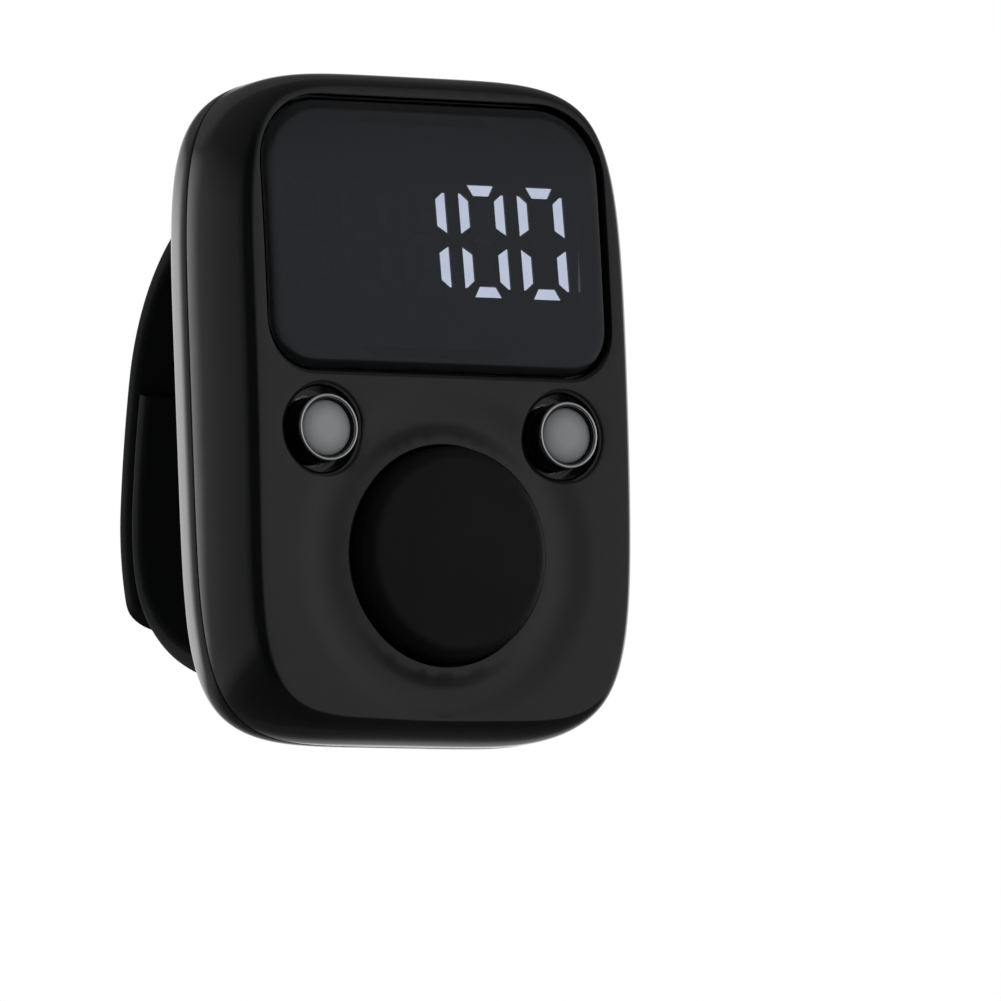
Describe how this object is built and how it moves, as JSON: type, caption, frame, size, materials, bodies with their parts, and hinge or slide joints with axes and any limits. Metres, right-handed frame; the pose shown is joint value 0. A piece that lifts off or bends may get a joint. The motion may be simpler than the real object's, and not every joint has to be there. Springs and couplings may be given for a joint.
{
  "type": "digital finger counter",
  "caption": "Digital finger counter with a lit digit display, push buttons and an elastic strap that closes round the finger with a stud.",
  "frame": {"origin": "centre of the back cover's flat rear face, where the finger rests", "axes": "+Z towards the display end of the housing, +Y out of the rear face towards the finger, +X to the reader's right; the reader looks along +Y at the face"},
  "size_m": [0.026, 0.0266, 0.0378],
  "materials": {
    "case_plastic": "gloss",
    "window": "polished",
    "tape": "matt",
    "case_block": "matt",
    "segments": "translucent",
    "board": "lacquered",
    "chip": "moulded",
    "steel": "plated",
    "cell": "foil",
    "red_insulation": "extruded",
    "black_insulation": "extruded",
    "strap": "satin",
    "button_rubber": "matt",
    "plunger": "moulded",
    "bright_rim": "polished",
    "grey_cap": "satin"
  },
  "bodies": {
    "housing": {"front_shell": "case_plastic", "back_cover": "case_plastic", "display_window": "window", "window_tape": "tape", "display_case": "case_block", "digit_1": "segments", "digit_2": "segments", "digit_3": "segments", "digit_4": "segments", "digit_5": "segments", "main_board": "board", "controller_chip": "chip", "charger_chip": "chip", "timing_crystal": "steel", "charging_socket": "steel", "socket_tongue": "chip", "battery_cell": "cell", "battery_tape": "tape", "red_lead": "red_insulation", "black_lead": "black_insulation", "count_switch_body": "chip", "left_switch_body": "chip", "right_switch_body": "chip", "left_board_screw": "steel", "right_board_screw": "steel", "upper_strap": "strap", "lower_strap": "strap", "strap_stud": "strap"},
    "tail": {"strap_tail": "strap"},
    "count_key": {"count_button": "button_rubber", "count_switch_plunger": "plunger"},
    "left_key": {"left_button_ring": "bright_rim", "left_button_cap": "grey_cap", "left_switch_plunger": "plunger"},
    "right_key": {"right_button_ring": "bright_rim", "right_button_cap": "grey_cap", "right_switch_plunger": "plunger"}
  },
  "joints": [
    {"name": "count_press", "type": "slide", "parent": "housing", "child": "count_key", "axis": [0, 1, 0], "range_m": [0, 0.0005], "stiffness_N_per_m": 600},
    {"name": "left_press", "type": "slide", "parent": "housing", "child": "left_key", "axis": [0, 1, 0], "range_m": [0, 0.0003], "stiffness_N_per_m": 600},
    {"name": "right_press", "type": "slide", "parent": "housing", "child": "right_key", "axis": [0, 1, 0], "range_m": [0, 0.0003], "stiffness_N_per_m": 600},
    {"name": "tail_flex", "type": "hinge", "parent": "housing", "child": "tail", "pos_m": [0, 0.01283, 0.00367], "axis": [1, 0, 0], "range_deg": [0, 75], "stiffness_Nm_per_rad": 0.002}
  ]
}
